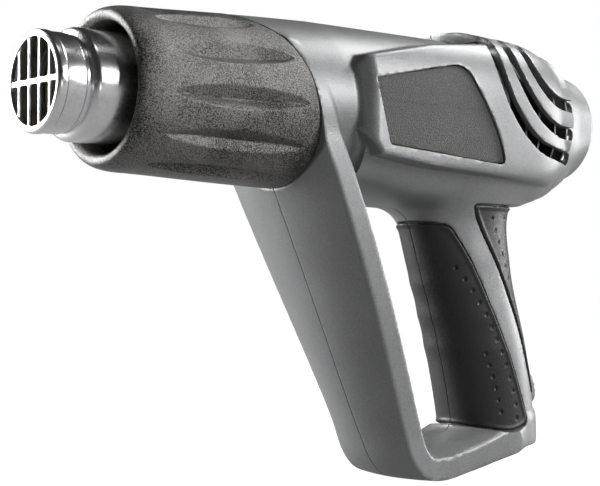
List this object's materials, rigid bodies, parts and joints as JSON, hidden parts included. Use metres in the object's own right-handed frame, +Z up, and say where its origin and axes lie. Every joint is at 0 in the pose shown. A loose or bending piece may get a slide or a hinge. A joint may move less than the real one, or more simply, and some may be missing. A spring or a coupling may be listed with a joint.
{
  "type": "heat gun",
  "caption": "Corded heat gun with a closed D-shaped handle frame, charcoal heat guard, stepped steel nozzle with slotted outlet, rubber grip and thumb slide switch.",
  "frame": {"origin": "centre of the flat rear rim, on the barrel axis", "axes": "+X along the barrel towards the air outlet, +Z up, away from the handle, +Y to the tool's left"},
  "size_m": [0.261, 0.0746, 0.1799],
  "materials": {
    "housing": "silver-grey moulded plastic with a fine sand texture",
    "guard_plastic": "charcoal glass-filled plastic with a coarse spark-eroded grain",
    "panel_plastic": "charcoal grained plastic",
    "grip_rubber": "black soft-touch rubber with small dimples",
    "nozzle_steel": "polished stainless steel",
    "black_plastic": "black moulded plastic",
    "gland_rubber": "black rubber",
    "mica": "rolled mica sheet, pearly tan",
    "ceramic_white": "unglazed white ceramic",
    "heater_wire": "oxidised resistance wire",
    "motor_steel": "zinc-plated steel",
    "magnet": "dark ferrite",
    "copper": "copper and sintered bronze",
    "screw_steel": "blackened steel",
    "board": "green laminate",
    "board_parts": "mixed moulded component bodies"
  },
  "bodies": {
    "housing": {"housing_left": "housing", "housing_right": "housing", "grip_shell_left": "housing", "grip_shell_right": "housing", "hand_guard_left": "housing", "hand_guard_right": "housing", "base_shell_left": "housing", "base_shell_right": "housing", "heat_guard": "guard_plastic", "side_panel_left": "panel_plastic", "side_panel_right": "panel_plastic", "grip_front_left": "grip_rubber", "grip_front_right": "grip_rubber", "grip_rear_pad": "grip_rubber", "nozzle_tube": "nozzle_steel", "nozzle_grille": "nozzle_steel", "rear_grille": "black_plastic", "switch_bezel": "black_plastic", "switch_body": "black_plastic", "terminal_block": "black_plastic", "cord_clamp": "black_plastic", "motor_end_cap": "black_plastic", "air_guide": "black_plastic", "motor_bracket": "black_plastic", "vent_fins_left": "black_plastic", "vent_fins_right": "black_plastic", "cord_gland": "gland_rubber", "mica_sleeve": "mica", "heater_former": "ceramic_white", "heating_coils": "heater_wire", "motor_can": "motor_steel", "thermal_cutout": "motor_steel", "motor_magnets": "magnet", "motor_bushes": "copper", "housing_screws": "screw_steel", "clamp_screws": "screw_steel", "circuit_board": "board", "board_parts": "board_parts"},
    "rotor": {"fan_wheel": "black_plastic", "motor_shaft": "motor_steel", "armature": "motor_steel", "commutator": "copper"},
    "thumb_switch": {"switch_slider": "housing"}
  },
  "joints": [
    {"name": "fan_spin", "type": "hinge", "parent": "housing", "child": "rotor", "pos_m": [0.098, 0, 0], "axis": [1, 0, 0], "continuous": true},
    {"name": "switch_slide", "type": "slide", "parent": "housing", "child": "thumb_switch", "axis": [0.183, 0, 0.9831], "range_m": [0, 0.011]}
  ]
}
